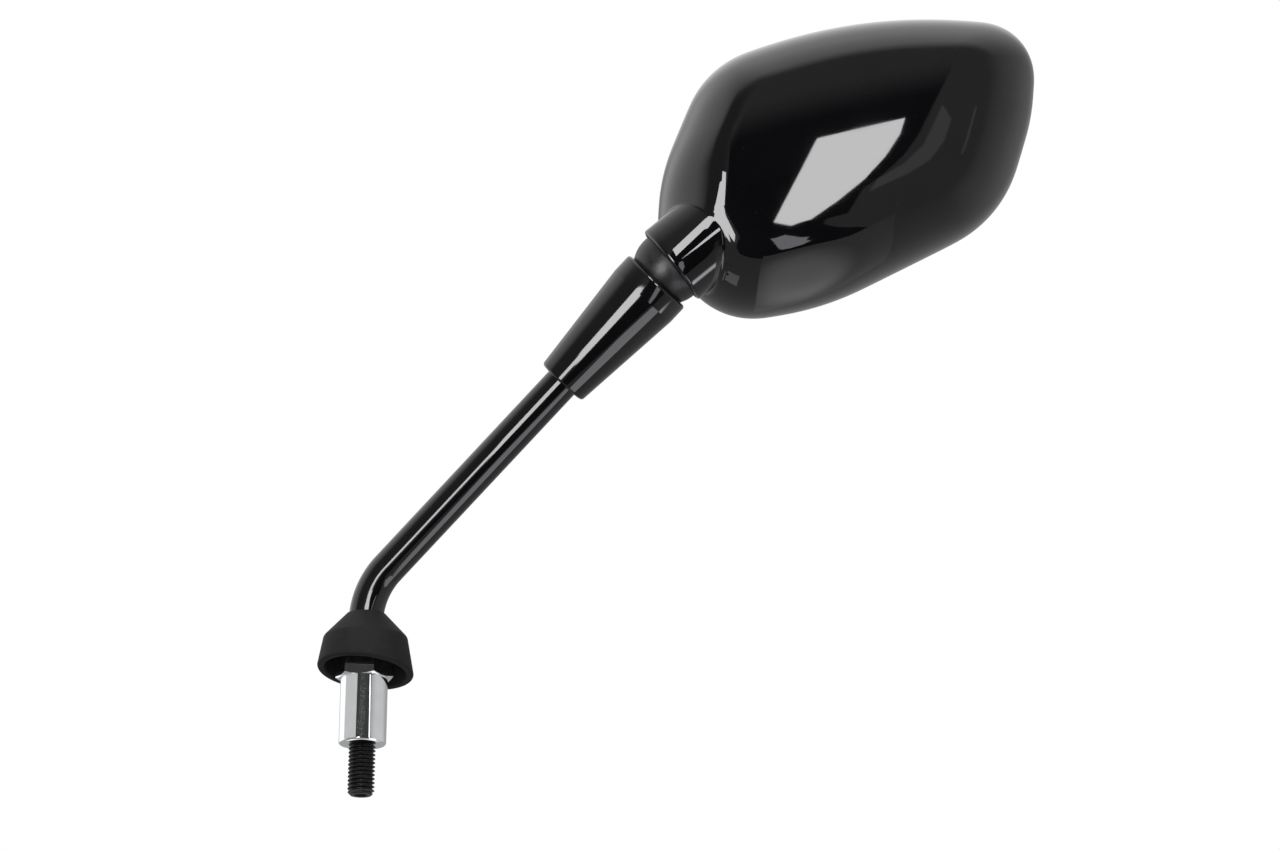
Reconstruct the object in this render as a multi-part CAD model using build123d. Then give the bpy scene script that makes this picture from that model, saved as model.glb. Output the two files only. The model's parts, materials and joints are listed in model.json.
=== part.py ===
from build123d import *
import os
from math import asin, cos, degrees, radians, sin, sqrt

# A rear-view mirror for a motorcycle: a bent steel stem that screws into the handlebar perch,
# and a moulded head that turns on a spring-loaded ball at the top of the stem.
# Millimetres. The origin is the centre of the adapter's seat face, on the stud's axis, +Z up.
# The back of the head faces -Y, and the glass faces +Y.

# Handlebar end: stud, adapter and lock nut. Threads inside a nut have their pitch diameter.
STUD_DIA = 10.0
STUD_PITCH_DIA = 9.03
STUD_REACH = 19.0
STUD_GRIP = 11.0
STUD_CHAMFER = 1.2
STUD_KEY_FLATS = 5.0
STUD_KEY_DEPTH = 5.0
ADAPTER_DIA = 17.6
ADAPTER_BODY = 25.0
ADAPTER_EDGE = 1.0
ADAPTER_ENTRY_DIA = 12.4
ADAPTER_FLATS = 19.0
ADAPTER_HEX = 8.0
HEX_TURN = -6.5
LOCK_NUT_FLATS = 17.0
LOCK_NUT_HEIGHT = 6.0
NUT_BEVEL = 30.0
SEAT_GAP = 0.1
TURNING_CLEARANCE = 0.05

# Stem: a round bar with one bend
STEM_DIA = 13.0
SPIGOT_DIA = 9.2
SPIGOT_GRIP = 20.0
BEND_HEIGHT = 59.3
BEND_ANGLE = 48.2
BEND_HEADING = -23.6
BEND_RADIUS = 26.0
STEM_REACH = 167.0
SHANK_DIA = 8.0
PIVOT_THREAD_DIA = 6.0

# Rubber boot round the hexagon
BOOT_TOP = 50.0
BOOT_SHOULDER_HEIGHT = 41.0
BOOT_SHOULDER_DIA = 31.5
BOOT_RIM_HEIGHT = 27.8
BOOT_RIM_DIA = 36.4
BOOT_WALL = 2.8
BOOT_LIP = 0.6
BOOT_ROUNDING = 3.0
BOOT_RIM_ROUNDING = 1.1
BOOT_RIM_NOD = 7.5
BOOT_RIM_LEAN = 4.8
BOOT_CLEARANCE = 0.25

# Cone sleeve below the ball
SLEEVE_LENGTH = 52.0
SLEEVE_TOP_DIA = 28.4
SLEEVE_BAND = 7.7
SLEEVE_FOOT_DIA = 20.0
SLEEVE_ROUNDING = 1.2

# Ball joint
BALL_RADIUS = 13.8
BALL_SEATING = 7.1
BALL_CLEARANCE = 0.1
SEAT_WALL = 0.7
SOCKET_WALL = 1.8
SWING = 13.5
SWING_MARGIN = 1.5
COLLAR_WALL = 1.35
COLLAR_ROUNDING = 1.3
COLLAR_DEPTH = 30.0
MOUTH_OFFSET = 0.4
DUST_RING_HEIGHT = 1.4
DUST_RING_WALL = 0.8
DUST_RING_CLEARANCE = 0.15
PRESSURE_WASHER_WALL = 1.0
SPRING_LENGTH = 7.5
SPRING_DIA = 12.0
SPRING_WIRE = 1.6
SPRING_TURNS = 3
SPRING_SEAT_DIA = 13.0
FLAT_WASHER_DIA = 12.5
FLAT_WASHER_WALL = 1.2
PIVOT_NUT_FLATS = 10.0
PIVOT_NUT_HEIGHT = 5.0
THREAD_OVERRUN = 1.5

# Head: where it points
HEAD_TURN = 1.6
HEAD_LEAN = 19.6
COLLAR_HEADING = 39.5

# Head: rim outline as corners, anticlockwise seen from the back, each with its rounding,
# the inset of the side that follows it at the top of the skirt, and the rounding up there
RIM_CORNERS = [
    (17.0, -21.7, 30.0, 31.0, 8.0),
    (59.5, -14.3, 112.0, 24.0, 20.0),
    (126.5, 19.8, 46.0, 27.0, 16.0),
    (137.5, 58.6, 76.0, 31.0, 22.0),
    (139.5, 93.3, 21.0, 22.5, 12.0),
    (72.5, 97.9, 190.0, 20.0, 90.0),
    (13.5, 76.9, 36.0, 23.0, 14.0),
    (-3.3, 35.7, 70.0, 31.0, 20.0),
    (-4.4, 12.8, 12.0, 33.0, 9.0),
]
RIM_LEDGE = 1.25
SKIRT_RISE = 44.0
SKIRT_ANGLES = (0.0, 25.0, 45.0, 60.0, 75.0)
DOME_RISE = 22.2
DOME_RADIUS = 320.0
DOME_CENTRE = (68.0, 40.0)
DOME_ROUNDING = 8.0
COLLAR_FILLET = 2.5
HOUSING_WALL = 2.6
RIM_ROUNDING = 0.9

# Glass and what carries it
GLASS_RADIUS = 1400.0
GLASS_CENTRE = (68.0, 38.0)
GLASS_RECESS = 0.4
GLASS_WALL = 2.5
GLASS_GAP = 0.8
PAD_WALL = 1.0
PLATE_WALL = 2.0
PLATE_MARGIN = 4.5
PLATE_NOTCH_GAP = 2.5
BOSS_DIA = 7.0
BOSS_PLACES = [(36.0, 62.0), (103.0, 74.0), (110.0, 38.0), (50.0, 9.0)]
SCREW_DIA = 3.0
SCREW_LENGTH = 10.0
SCREW_HEAD_DIA = 5.6
SCREW_HEAD_HEIGHT = 1.5
SCREW_SINK = 0.2

# Places that follow from the sizes above
BEND = radians(BEND_ANGLE)
HEADING = radians(BEND_HEADING)
STEM_AXIS = Vector(sin(BEND) * cos(HEADING), sin(BEND) * sin(HEADING), cos(BEND))
BEND_POINT = Vector(0, 0, BEND_HEIGHT)
PIVOT = BEND_POINT + STEM_AXIS * STEM_REACH
STEM_FRAME = Plane(origin=PIVOT, x_dir=(-sin(HEADING), cos(HEADING), 0), z_dir=STEM_AXIS)
TURN = radians(HEAD_TURN)
LEAN = radians(HEAD_LEAN)
BACK_WAY = Vector(cos(LEAN) * sin(TURN), -cos(LEAN) * cos(TURN), -sin(LEAN))
HEAD_FRAME = Plane(origin=PIVOT, x_dir=(cos(TURN), sin(TURN), 0), z_dir=BACK_WAY)
COLLAR_AXIS = (
    HEAD_FRAME.x_dir * cos(radians(COLLAR_HEADING)) + HEAD_FRAME.y_dir * sin(radians(COLLAR_HEADING))
)
COLLAR_FRAME = Plane(origin=PIVOT, x_dir=BACK_WAY, z_dir=COLLAR_AXIS)
HEAD_TO_COLLAR = HEAD_FRAME.location.inverse() * COLLAR_FRAME.location

ADAPTER_TOP = ADAPTER_BODY + ADAPTER_HEX
LOCK_NUT_BASE = ADAPTER_TOP + SEAT_GAP
STEM_BASE = LOCK_NUT_BASE + LOCK_NUT_HEIGHT
SEAT_INNER = BALL_RADIUS + BALL_CLEARANCE
SEAT_OUTER = SEAT_INNER + SEAT_WALL
SOCKET_INNER = SEAT_OUTER + BALL_CLEARANCE
SOCKET_OUTER = SOCKET_INNER + SOCKET_WALL
WASHER_INNER = SOCKET_OUTER + BALL_CLEARANCE
WASHER_OUTER = WASHER_INNER + PRESSURE_WASHER_WALL
OPENING_ANGLE = degrees(asin(PIVOT_THREAD_DIA / 2 / SEAT_INNER)) + SWING + SWING_MARGIN
WASHER_ANGLE = OPENING_ANGLE + SWING
SPRING_BASE = WASHER_OUTER
FLAT_WASHER_BASE = SPRING_BASE + SPRING_LENGTH
PIVOT_NUT_BASE = FLAT_WASHER_BASE + FLAT_WASHER_WALL
THREAD_END = PIVOT_NUT_BASE + PIVOT_NUT_HEIGHT + THREAD_OVERRUN
DUST_RING_INNER = BALL_RADIUS + DUST_RING_CLEARANCE
DUST_RING_OUTER = DUST_RING_INNER + DUST_RING_WALL
DUST_RING_TOP = MOUTH_OFFSET + DUST_RING_HEIGHT
RING_STEP_TOP = DUST_RING_TOP + DUST_RING_CLEARANCE
SEAT_FOOT = RING_STEP_TOP + SEAT_OUTER * sin(radians(SWING))
COLLAR_INNER = DUST_RING_OUTER + DUST_RING_CLEARANCE
COLLAR_OUTER = COLLAR_INNER + COLLAR_WALL
RIM_DEPTH = COLLAR_OUTER + COLLAR_FILLET + RIM_LEDGE
GLASS_FRONT = GLASS_RADIUS
PAD_FRONT = GLASS_FRONT - GLASS_WALL
PLATE_FRONT = PAD_FRONT - PAD_WALL
PLATE_BACK = PLATE_FRONT - PLATE_WALL
GLASS_PIVOT = (*GLASS_CENTRE, GLASS_RECESS - RIM_DEPTH + GLASS_RADIUS)


def turned(*corners):
    """Solid of revolution about Z from (radius, height) or (radius, height, rounding) corners."""
    points = [(corner[0], corner[1]) for corner in corners]
    roundings = [corner[2] if len(corner) > 2 else 0.0 for corner in corners]
    outline = FilletPolyline(*points, radius=roundings, close=True)
    return revolve(Plane.XZ * make_face(outline), Axis.Z)


def hexagon(flats, base, height, rotation=0.0):
    """Hexagonal prism across the given flats, from a base height up."""
    section = RegularPolygon(flats / 2, 6, major_radius=False, rotation=rotation)
    return Pos(0, 0, base) * extrude(section, height)


def bevelled(flats, base, height, ends):
    """Round body that takes the corners off a hexagon at its 'low' and 'high' ends."""
    corner = flats / sqrt(3)
    inner = flats / 2
    drop = (corner - inner) * sin(radians(NUT_BEVEL)) / cos(radians(NUT_BEVEL))
    profile = [(0, base)]
    profile += [(inner, base), (corner, base + drop)] if "low" in ends else [(corner, base)]
    top = base + height
    profile += [(corner, top - drop), (inner, top)] if "high" in ends else [(corner, top)]
    profile += [(0, top)]
    return turned(*profile)


def nut(flats, base, height, bore):
    """Hexagon nut with bevelled corners at both ends."""
    body = hexagon(flats, base, height) & bevelled(flats, base, height, ("low", "high"))
    return body - Pos(0, 0, base) * Cylinder(bore / 2, height, align=(Align.CENTER, Align.CENTER, Align.MIN))


def column(radius, base, top):
    """Plain cylinder about Z between two heights."""
    return Pos(0, 0, base) * Cylinder(radius, top - base, align=(Align.CENTER, Align.CENTER, Align.MIN))


def cap_cone(angle, reach):
    """Cone with its point at the origin that opens up +Z by a half angle."""
    wide = reach * sin(radians(angle))
    high = reach * cos(radians(angle))
    return turned((0, 0), (wide, high), (0, high))


def mounting_stud():
    body = turned(
        (0, -STUD_REACH),
        (STUD_DIA / 2 - STUD_CHAMFER, -STUD_REACH),
        (STUD_DIA / 2, -STUD_REACH + STUD_CHAMFER),
        (STUD_DIA / 2, 0),
        (STUD_PITCH_DIA / 2, 0),
        (STUD_PITCH_DIA / 2, STUD_GRIP - STUD_CHAMFER),
        (STUD_PITCH_DIA / 2 - STUD_CHAMFER, STUD_GRIP),
        (0, STUD_GRIP),
    )
    return body - hexagon(STUD_KEY_FLATS, -STUD_REACH, STUD_KEY_DEPTH)


def adapter():
    body = turned(
        (0, 0),
        (ADAPTER_DIA / 2, 0, ADAPTER_EDGE),
        (ADAPTER_DIA / 2, ADAPTER_BODY),
        (0, ADAPTER_BODY),
    )
    head = hexagon(ADAPTER_FLATS, ADAPTER_BODY, ADAPTER_HEX, HEX_TURN)
    head &= bevelled(ADAPTER_FLATS, ADAPTER_BODY, ADAPTER_HEX, ("low", "high"))
    entry = (ADAPTER_ENTRY_DIA - STUD_PITCH_DIA) / 2
    body += head
    body -= turned((0, 0), (ADAPTER_ENTRY_DIA / 2, 0), (STUD_PITCH_DIA / 2, entry), (0, entry))
    body -= column(STUD_PITCH_DIA / 2, 0, STUD_GRIP)
    return body - column(SPIGOT_DIA / 2 + TURNING_CLEARANCE, STUD_GRIP, ADAPTER_TOP)


def lock_nut():
    return nut(LOCK_NUT_FLATS, LOCK_NUT_BASE, LOCK_NUT_HEIGHT, SPIGOT_DIA)


def bent_bar(diameter):
    """Round bar along the stem's centreline, from above the lock nut to the ball's seat."""
    top = PIVOT - STEM_AXIS * BALL_SEATING
    path = FilletPolyline((0, 0, STEM_BASE), BEND_POINT, top, radius=BEND_RADIUS)
    return sweep(Plane(origin=(0, 0, STEM_BASE)) * Circle(diameter / 2), path=path)


def stem():
    body = bent_bar(STEM_DIA) + column(SPIGOT_DIA / 2, ADAPTER_TOP - SPIGOT_GRIP, STEM_BASE)
    shank = column(SHANK_DIA / 2, -BALL_SEATING, BALL_RADIUS - SHANK_DIA / 2)
    thread = column(PIVOT_THREAD_DIA / 2, BALL_RADIUS - SHANK_DIA / 2, THREAD_END)
    return body + STEM_FRAME * (shank + thread)


def boot():
    neck = STEM_DIA / 2 + BOOT_CLEARANCE
    shoulder = BOOT_SHOULDER_DIA / 2
    flare = (BOOT_RIM_DIA - BOOT_SHOULDER_DIA) / 2 / (BOOT_SHOULDER_HEIGHT - BOOT_RIM_HEIGHT)
    foot = BOOT_RIM_HEIGHT - BOOT_RIM_DIA / 4
    foot_radius = shoulder + flare * (BOOT_SHOULDER_HEIGHT - foot)
    inner_top = BOOT_TOP - 1.3 * BOOT_WALL
    body = turned(
        (neck, BOOT_TOP),
        (neck, inner_top),
        (shoulder - BOOT_WALL, BOOT_SHOULDER_HEIGHT, BOOT_ROUNDING),
        (foot_radius - BOOT_WALL, foot),
        (foot_radius, foot),
        (shoulder, BOOT_SHOULDER_HEIGHT, BOOT_ROUNDING),
        (neck + BOOT_LIP, BOOT_TOP),
    )
    rim_plane = Plane(Pos(0, 0, BOOT_RIM_HEIGHT) * Rot(-BOOT_RIM_NOD, BOOT_RIM_LEAN, 0))
    body = split(body, bisect_by=rim_plane, keep=Keep.TOP)
    rim = body.faces().filter_by(rim_plane).sort_by(Axis.Z)[0]
    body = fillet(rim.edges(), BOOT_RIM_ROUNDING)
    return body - bent_bar(STEM_DIA + 2 * BOOT_CLEARANCE)


def cone_sleeve():
    top = -BALL_SEATING
    foot = top - SLEEVE_LENGTH
    return STEM_FRAME * turned(
        (STEM_DIA / 2, foot),
        (SLEEVE_FOOT_DIA / 2, foot, SLEEVE_ROUNDING),
        (SLEEVE_TOP_DIA / 2, top - SLEEVE_BAND, SLEEVE_ROUNDING),
        (SLEEVE_TOP_DIA / 2, top, SLEEVE_ROUNDING),
        (STEM_DIA / 2, top),
    )


def swivel_ball():
    ball = Sphere(BALL_RADIUS) & column(BALL_RADIUS, -BALL_SEATING, BALL_RADIUS)
    ball -= column(SHANK_DIA / 2, -BALL_SEATING, BALL_RADIUS - SHANK_DIA / 2)
    ball -= column(PIVOT_THREAD_DIA / 2, 0, BALL_RADIUS)
    return STEM_FRAME * ball


def spherical_cup(inner, outer, foot):
    """Hollow hemisphere about the pivot, from a foot height up, open at the top for the thread."""
    cup = Sphere(outer) & column(outer, foot, outer)
    return cup - Sphere(inner) - cap_cone(OPENING_ANGLE, 2 * outer)


def ball_seat():
    return COLLAR_FRAME * spherical_cup(SEAT_INNER, SEAT_OUTER, SEAT_FOOT)


def dust_ring():
    ring = column(DUST_RING_OUTER, MOUTH_OFFSET, DUST_RING_TOP)
    return COLLAR_FRAME * (ring - column(DUST_RING_INNER, MOUTH_OFFSET, DUST_RING_TOP))


def pressure_washer():
    shell = Sphere(WASHER_OUTER) - Sphere(WASHER_INNER)
    shell &= cap_cone(WASHER_ANGLE, 2 * WASHER_OUTER)
    boss = column(SPRING_SEAT_DIA / 2, 0, WASHER_OUTER) - Sphere(WASHER_INNER)
    return STEM_FRAME * (shell + boss - column(PIVOT_THREAD_DIA / 2, 0, WASHER_OUTER))


def pivot_spring():
    radius = (SPRING_DIA - SPRING_WIRE) / 2
    rise = SPRING_LENGTH - SPRING_WIRE
    path = Helix(rise / SPRING_TURNS, rise, radius)
    start = Plane(origin=path @ 0, z_dir=path % 0)
    coil = sweep(start * Circle(SPRING_WIRE / 2), path=path, is_frenet=True)
    return STEM_FRAME * (Pos(0, 0, SPRING_BASE + SPRING_WIRE / 2) * coil)


def flat_washer():
    top = FLAT_WASHER_BASE + FLAT_WASHER_WALL
    disc = column(FLAT_WASHER_DIA / 2, FLAT_WASHER_BASE, top)
    return STEM_FRAME * (disc - column(PIVOT_THREAD_DIA / 2, FLAT_WASHER_BASE, top))


def pivot_nut():
    return STEM_FRAME * nut(PIVOT_NUT_FLATS, PIVOT_NUT_BASE, PIVOT_NUT_HEIGHT, PIVOT_THREAD_DIA)


def inset_corners(insets):
    """Rim corners after each side has moved inwards by its own distance."""
    count = len(RIM_CORNERS)
    points = [Vector(corner[0], corner[1]) for corner in RIM_CORNERS]
    ways = [(points[(i + 1) % count] - points[i]).normalized() for i in range(count)]
    starts = [points[i] + Vector(-ways[i].Y, ways[i].X) * insets[i] for i in range(count)]
    moved = []
    for i in range(count):
        gap = starts[i] - starts[i - 1]
        reach = gap.cross(ways[i]).Z / ways[i - 1].cross(ways[i]).Z
        moved.append(starts[i - 1] + ways[i - 1] * reach)
    return moved


def rim_outline(margin=0.0, share=0.0):
    """Face inside the rim by a margin, with the sides moved in by a share of the skirt's insets."""
    corners = inset_corners([margin + share * corner[3] for corner in RIM_CORNERS])
    roundings = [corner[2] + share * (corner[4] - corner[2]) - margin for corner in RIM_CORNERS]
    return make_face(FilletPolyline(*corners, radius=roundings, close=True))


def skirted_dome(margin=0.0):
    """The head's pillow shape in its own frame, inside the outer skin by a margin."""
    steepest = cos(radians(SKIRT_ANGLES[-1]))
    sections = []
    for angle in SKIRT_ANGLES:
        share = (1 - cos(radians(angle))) / (1 - steepest)
        height = SKIRT_RISE * sin(radians(angle)) - RIM_DEPTH
        sections.append(Pos(0, 0, height) * rim_outline(margin, share))
    dome = Pos(*DOME_CENTRE, DOME_RISE - DOME_RADIUS) * Sphere(DOME_RADIUS - margin)
    return loft(sections) & dome


def glass_layer(front, back, margin):
    """Sheet between two spheres about the glass's centre, with the rim's outline inside a margin."""
    outline = Pos(0, 0, -2 * RIM_DEPTH) * rim_outline(margin)
    layer = extrude(outline, 3 * RIM_DEPTH) & Pos(*GLASS_PIVOT) * Sphere(front)
    return layer - Pos(*GLASS_PIVOT) * Sphere(back)


def collar_barrel():
    """Round collar in the head's frame, from its mouth to inside the skirt."""
    return HEAD_TO_COLLAR * turned(
        (0, MOUTH_OFFSET),
        (COLLAR_OUTER, MOUTH_OFFSET, COLLAR_ROUNDING),
        (COLLAR_OUTER, COLLAR_DEPTH),
        (0, COLLAR_DEPTH),
    )


def ball_socket():
    """Domed cup inside the collar that the seat bears on."""
    cup = Sphere(SOCKET_OUTER) & column(COLLAR_INNER + COLLAR_WALL / 2, MOUTH_OFFSET, SOCKET_OUTER)
    cup -= Sphere(SOCKET_INNER)
    return HEAD_TO_COLLAR * (cup - cap_cone(OPENING_ANGLE, 2 * SOCKET_OUTER))


def screw_seats():
    """Places of the plate's screws in the head's frame, each with the height of its head's face."""
    centre = Vector(*GLASS_CENTRE)
    for x, y in BOSS_PLACES:
        aside = (Vector(x, y) - centre).length
        yield Pos(x, y, GLASS_PIVOT[2] - sqrt(PLATE_FRONT**2 - aside**2) + SCREW_SINK)


def screw():
    """Countersunk screw along +Z with the face of its head at the origin."""
    return turned(
        (0, 0),
        (SCREW_HEAD_DIA / 2, 0),
        (SCREW_DIA / 2, SCREW_HEAD_HEIGHT),
        (SCREW_DIA / 2, SCREW_LENGTH),
        (0, SCREW_LENGTH),
    )


def housing():
    body = skirted_dome()
    skin = body.faces().filter_by(GeomType.SPHERE)[0]
    body = fillet(skin.edges(), DOME_ROUNDING) + collar_barrel()
    barrel = body.faces().filter_by(GeomType.CYLINDER).sort_by(SortBy.AREA)[-1]
    body = fillet(barrel.edges().filter_by(GeomType.BSPLINE), COLLAR_FILLET)
    behind_plate = Pos(*GLASS_PIVOT) * Sphere(PLATE_BACK)
    bosses = [
        Pos(x, y, 0) * column(BOSS_DIA / 2, -RIM_DEPTH, DOME_RISE) & behind_plate & body
        for x, y in BOSS_PLACES
    ]
    body -= skirted_dome(HOUSING_WALL)
    body -= HEAD_TO_COLLAR * column(COLLAR_INNER, MOUTH_OFFSET, COLLAR_DEPTH)
    body += ball_socket()
    body -= HEAD_TO_COLLAR * column(COLLAR_INNER, MOUTH_OFFSET, RING_STEP_TOP)
    for boss in bosses:
        body += boss
    for seat in screw_seats():
        body -= seat * screw()
    rim = body.faces().filter_by(GeomType.PLANE).sort_by(Axis.Z)[0]
    body = fillet(rim.edges(), RIM_ROUNDING)
    return HEAD_FRAME * body


def plate_notch():
    """Round notch in the plate and pad that clears the ball socket."""
    return column(WASHER_OUTER + PLATE_NOTCH_GAP, -2 * RIM_DEPTH, 2 * RIM_DEPTH)


def backing_plate():
    plate = glass_layer(PLATE_FRONT, PLATE_BACK, HOUSING_WALL + PLATE_MARGIN) - plate_notch()
    for seat in screw_seats():
        plate -= seat * (screw() + column(SCREW_HEAD_DIA / 2, -PLATE_WALL, 0))
    return HEAD_FRAME * plate


def glass_pad():
    pad = glass_layer(PAD_FRONT, PLATE_FRONT, HOUSING_WALL + PLATE_MARGIN) - plate_notch()
    return HEAD_FRAME * pad


def mirror_glass():
    return HEAD_FRAME * glass_layer(GLASS_FRONT, PAD_FRONT, HOUSING_WALL + GLASS_GAP)


if __name__ == "__main__":
    pieces = {
        "mounting_stud": mounting_stud(),
        "adapter": adapter(),
        "lock_nut": lock_nut(),
        "stem": stem(),
        "boot": boot(),
        "cone_sleeve": cone_sleeve(),
        "swivel_ball": swivel_ball(),
        "ball_seat": ball_seat(),
        "dust_ring": dust_ring(),
        "pressure_washer": pressure_washer(),
        "pivot_spring": pivot_spring(),
        "flat_washer": flat_washer(),
        "pivot_nut": pivot_nut(),
        "housing": housing(),
        "backing_plate": backing_plate(),
        "glass_pad": glass_pad(),
        "mirror_glass": mirror_glass(),
    }
    for number, seat in enumerate(screw_seats(), 1):
        pieces[f"plate_screw_{number}"] = HEAD_FRAME * (seat * screw())
    os.makedirs("parts", exist_ok=True)
    for name, piece in pieces.items():
        export_step(piece, f"parts/{name}.step")
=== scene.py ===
import json
from math import acos, asin, cos, pi, radians, sin, sqrt, tan

import bmesh
import bpy
from mathutils import Matrix, Vector
from mathutils.bvhtree import BVHTree


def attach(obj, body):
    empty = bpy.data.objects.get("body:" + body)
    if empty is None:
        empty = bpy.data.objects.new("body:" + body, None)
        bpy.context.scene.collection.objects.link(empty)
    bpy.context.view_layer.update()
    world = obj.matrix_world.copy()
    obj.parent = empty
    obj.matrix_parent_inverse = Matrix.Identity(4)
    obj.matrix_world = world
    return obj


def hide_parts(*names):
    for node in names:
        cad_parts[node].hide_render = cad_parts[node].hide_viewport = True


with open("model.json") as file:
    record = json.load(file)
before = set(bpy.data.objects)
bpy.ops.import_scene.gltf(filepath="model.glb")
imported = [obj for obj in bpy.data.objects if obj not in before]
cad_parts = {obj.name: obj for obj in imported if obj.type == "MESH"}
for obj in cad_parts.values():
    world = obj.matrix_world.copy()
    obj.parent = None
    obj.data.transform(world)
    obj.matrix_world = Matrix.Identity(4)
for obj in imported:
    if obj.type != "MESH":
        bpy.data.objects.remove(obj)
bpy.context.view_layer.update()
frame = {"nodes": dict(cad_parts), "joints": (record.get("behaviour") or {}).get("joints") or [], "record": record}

# A motorcycle mirror seen from the back of its head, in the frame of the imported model.
# Sizes are millimetres in each piece's own frame; the frames come from the joints.
MM = 0.001

# Stud and adapter
STUD_DIA = 10.0
STUD_PITCH = 1.5
STUD_REACH = 19.0
STUD_CHAMFER = 1.2
STUD_KEY_FLATS = 5.0
STUD_KEY_DEPTH = 5.0
STUD_KEY_BEVEL = 0.3
THREAD_DEPTH = 0.92
THREAD_FLANK = radians(30.0)
THREAD_CREST = STUD_PITCH / 8
THREAD_ENTRY = 2.75
ADAPTER_DIA = 17.6
ADAPTER_BODY = 25.0
ADAPTER_EDGE = 1.0
ADAPTER_ENTRY_DIA = 12.4
ADAPTER_FLATS = 19.0
ADAPTER_HEX = 8.0
HEX_TURN = radians(-6.5)
NUT_BEVEL = radians(30.0)
SPIGOT_DIA = 9.2
SPIGOT_CLEARANCE = 0.05

# Stem and what sits on it
STEM_DIA = 13.0
STEM_BASE = 39.1
SPIGOT_FOOT = 13.0
BEND_HEIGHT = 59.3
BEND_RADIUS = 26.0
SHANK_DIA = 8.0
PIVOT_THREAD_DIA = 6.0
THREAD_END = 32.8
BOOT_TOP = 50.0
BOOT_SHOULDER_HEIGHT = 41.0
BOOT_SHOULDER_DIA = 31.5
BOOT_RIM_HEIGHT = 27.8
BOOT_RIM_DIA = 36.4
BOOT_WALL = 2.8
BOOT_NECK = 3.64
BOOT_LIP = 0.6
BOOT_LIP_ROUNDING = 0.2
BOOT_ROUNDING = 3.0
BOOT_RIM_ROUNDING = 1.1
BOOT_RIM_NOD = radians(7.5)
BOOT_RIM_LEAN = radians(4.8)
BOOT_CLEARANCE = 0.25
SLEEVE_LENGTH = 52.0
SLEEVE_TOP_DIA = 28.4
SLEEVE_BAND = 7.7
SLEEVE_FOOT_DIA = 20.0
SLEEVE_ROUNDING = 1.2
BALL_RADIUS = 13.8
BALL_SEATING = 7.1
SHANK_TOP = BALL_RADIUS - SHANK_DIA / 2

# Collar and socket
COLLAR_INNER = 14.9
COLLAR_WALL = 1.35
COLLAR_ROUNDING = 1.3
COLLAR_DEPTH = 30.0
COLLAR_FILLET = 2.5
COLLAR_TUCK = 0.4
MOUTH_OFFSET = 0.4
RING_STEP_TOP = 1.95
SOCKET_INNER = 14.7
SOCKET_WALL = 1.8
OPENING_ANGLE = radians(27.5)

# Head: rim corners, each with its rounding, the inset of the side that follows it at the top
# of the skirt, and the rounding up there
RIM_CORNERS = [
    (17.0, -21.7, 30.0, 31.0, 8.0),
    (59.5, -14.3, 112.0, 24.0, 20.0),
    (126.5, 19.8, 46.0, 27.0, 16.0),
    (137.5, 58.6, 76.0, 31.0, 22.0),
    (139.5, 93.3, 21.0, 22.5, 12.0),
    (72.5, 97.9, 190.0, 20.0, 90.0),
    (13.5, 76.9, 36.0, 23.0, 14.0),
    (-3.3, 35.7, 70.0, 31.0, 20.0),
    (-4.4, 12.8, 12.0, 33.0, 9.0),
]
RIM_DEPTH = 20.0
RIM_ROUNDING = 0.9
HOUSING_WALL = 2.6
SKIRT_RISE = 44.0
SKIRT_TOP_ANGLE = radians(75.0)
DOME_RISE = 22.2
DOME_RADIUS = 320.0
DOME_CENTRE = Vector((68.0, 40.0))
DOME_BLEND = 2.0
BOSS_DIA = 7.0
BOSS_PLACES = [(36.0, 62.0), (103.0, 74.0), (110.0, 38.0), (50.0, 9.0)]
BOSS_FOOT = -13.0

# Glass
GLASS_RADIUS = 1400.0
GLASS_CENTRE = Vector((68.0, 38.0))
GLASS_RECESS = 0.4
GLASS_WALL = 2.5
GLASS_GAP = 0.8
GLASS_BEVEL = 0.5

# Mesh fineness: steps round a turn, along an arc or a straight run, and rows of the larger skins
TURN_STEPS = 96
CORNER_STEPS = 8
ARC_STEPS = 20
RUN_STEPS = 8
THREAD_STEPS = 16
HEX_ROWS = 12
BEND_STEPS = 40
BALL_STEPS = 40
RIM_STEPS = 6
OUTLINE_PASSES = 6
SKIRT_ROWS = 64
DOME_ROWS = 32
COLLAR_COLUMNS = 160
COLLAR_PROBE = 0.25
COLLAR_HALVINGS = 20
FILLET_STEPS = 10
SOCKET_STEPS = 16
BOSS_STEPS = 32
AXIS_RADIUS = 1e-6
WELD_GAP = 1e-7
SHARP_ANGLE = 30.0

# Gloss black: specks of dust, patches of tint and haze, and the strength of its orange peel
SPECK_SIZE = 0.5
SPECK_START = 0.86
SPECK_END = 0.90
DUST_COLOUR = (0.05, 0.05, 0.05)
TINT_PATCH = 18.0
HAZE_PATCH = 12.0
PEEL_STRENGTH = 0.4

# Camera of the photograph
LENS = 85.0
SENSOR = 36.0
CAMERA_PLACE = Vector((102.83, -1095.72, -256.1)) * MM
CAMERA_RISE = radians(19.2)

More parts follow.
